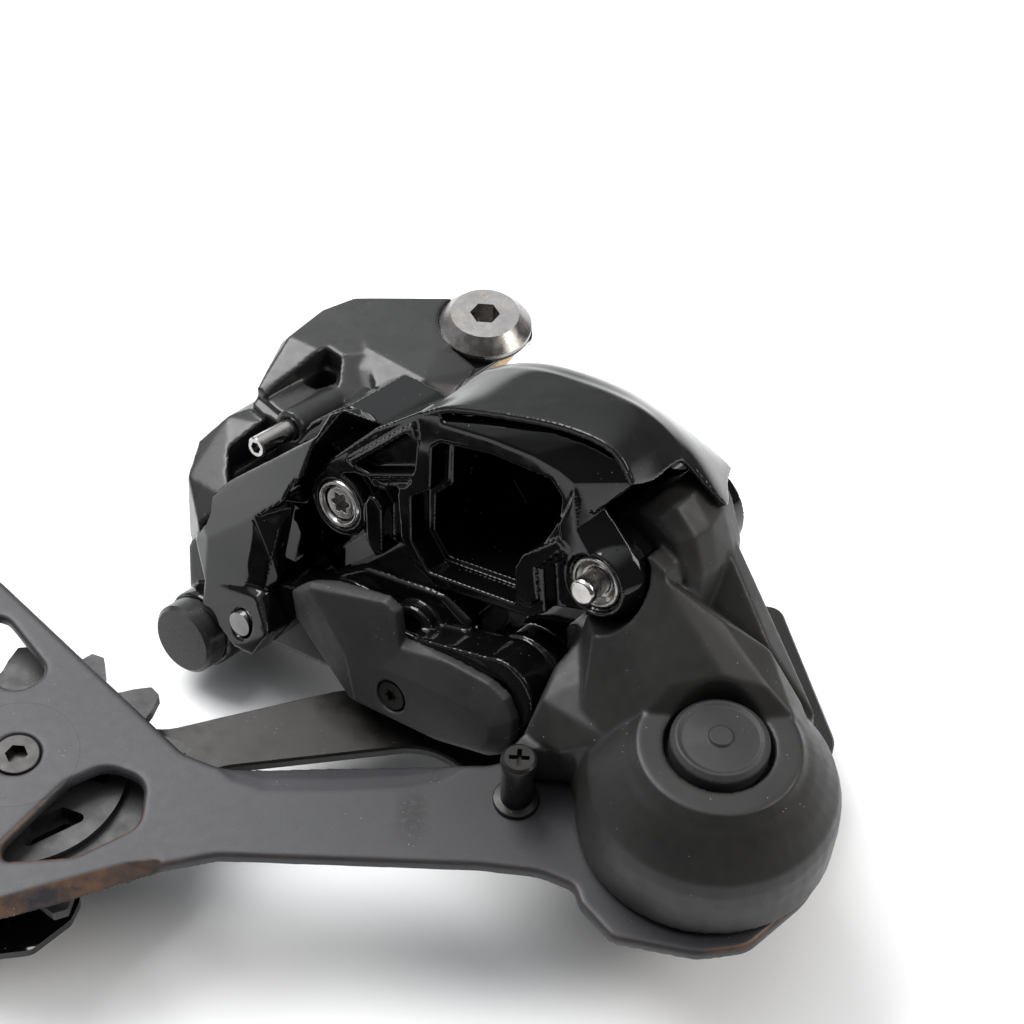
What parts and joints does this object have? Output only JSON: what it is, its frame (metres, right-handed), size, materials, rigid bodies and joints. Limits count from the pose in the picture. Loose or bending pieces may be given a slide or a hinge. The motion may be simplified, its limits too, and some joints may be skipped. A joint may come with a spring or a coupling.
{
  "type": "rear bicycle derailleur",
  "caption": "Wireless rear bicycle derailleur: slant parallelogram with a battery pocket in the outer link, round clutch knuckle and long pulley cage.",
  "frame": {"origin": "on the hanger bolt's axis at the hanger's outboard face", "axes": "+Z outboard along the hanger bolt, +X towards the front of the bicycle, +Y up; the pulleys turn about Z"},
  "size_m": [0.1723, 0.1349, 0.0859],
  "materials": {
    "steel": "satin",
    "pin_steel": "polished",
    "bronze": "satin",
    "gloss_black": "gloss",
    "satin_grey": "satin",
    "fairing": "semi-gloss",
    "knuckle_black": "satin",
    "plate_grey": "satin anodised",
    "matte_grey": "matte",
    "black_plastic": "matte",
    "black_screw": "satin",
    "rubber": "matte",
    "gold": "polished",
    "motor_can": "satin"
  },
  "bodies": {
    "hanger_bolt": {"hanger_bolt": "steel", "bolt_washer": "black_plastic"},
    "bracket": {"bracket_lug": "gloss_black", "bracket_body": "satin_grey", "bracket_bush": "bronze", "motor_cover": "gloss_black", "drive_cap": "satin_grey", "motor": "motor_can", "drive_shaft": "pin_steel", "drive_gear": "bronze", "bracket_inner_pin": "pin_steel"},
    "b_screw": {"b_tension_screw": "pin_steel"},
    "outer_link": {"outer_link": "gloss_black", "outer_fairing": "fairing", "fairing_ribs": "gloss_black", "contact_block": "black_plastic", "contact_pins": "gold", "front_pin": "pin_steel", "far_pin": "pin_steel", "front_pin_ring": "pin_steel", "far_pin_bush": "steel"},
    "inner_link": {"inner_link": "gloss_black", "inner_cover": "matte_grey", "cover_screw": "black_screw"},
    "knuckle": {"p_knuckle": "knuckle_black", "knuckle_cap": "matte_grey", "clutch_ring": "steel", "knuckle_base": "black_plastic", "knuckle_seal": "rubber", "cage_spring": "steel", "knuckle_inner_pin": "pin_steel", "link_spring": "pin_steel"},
    "cage": {"outer_plate": "plate_grey", "inner_plate": "black_screw", "chain_guard": "gloss_black", "cage_axle": "steel", "stop_pin": "black_screw", "guide_sleeve": "steel", "guide_caps": "black_screw", "guide_bolt": "black_screw", "tension_sleeve": "steel", "tension_caps": "black_screw", "tension_bolt": "black_screw"},
    "guide_pulley": {"guide_pulley": "black_plastic"},
    "tension_pulley": {"tension_pulley": "black_plastic"}
  },
  "joints": [
    {"name": "hanger_pivot", "type": "hinge", "parent": "hanger_bolt", "child": "bracket", "pos_m": [0, 0, 0], "axis": [0, 0, 1], "range_deg": [-15, 15]},
    {"name": "b_screw_turn", "type": "hinge", "parent": "bracket", "child": "b_screw", "pos_m": [-0.03599, -0.03146, 0.00498], "axis": [-0.5643, -0.7883, 0.2453], "range_deg": [-180, 180]},
    {"name": "shift", "type": "hinge", "parent": "bracket", "child": "outer_link", "pos_m": [-0.01294, -0.03571, 0.00358], "axis": [-0.5643, -0.7883, 0.2453], "range_deg": [-38, 0]},
    {"name": "inner_link_turn", "type": "hinge", "parent": "bracket", "child": "inner_link", "pos_m": [-0.03281, -0.04884, -0.01907], "axis": [-0.5643, -0.7883, 0.2453], "range_deg": [-38, 0]},
    {"name": "knuckle_turn", "type": "hinge", "parent": "outer_link", "child": "knuckle", "pos_m": [0.03162, -0.06279, 0.01909], "axis": [-0.5643, -0.7883, 0.2453], "range_deg": [0, 38]},
    {"name": "cage_pivot", "type": "hinge", "parent": "knuckle", "child": "cage", "pos_m": [0.043, -0.0997, 0], "axis": [0, 0, 1], "range_deg": [0, 110], "stiffness_Nm_per_rad": 0.25, "springref_deg": -68.75},
    {"name": "guide_spin", "type": "hinge", "parent": "cage", "child": "guide_pulley", "pos_m": [0.037, -0.082, -0.018], "axis": [0, 0, 1], "continuous": true},
    {"name": "tension_spin", "type": "hinge", "parent": "cage", "child": "tension_pulley", "pos_m": [-0.0734, -0.0946, -0.018], "axis": [0, 0, 1], "continuous": true}
  ],
  "couplings": [
    {"joint": "inner_link_turn", "follows": "shift", "ratio": 1},
    {"joint": "knuckle_turn", "follows": "shift", "ratio": -1}
  ]
}
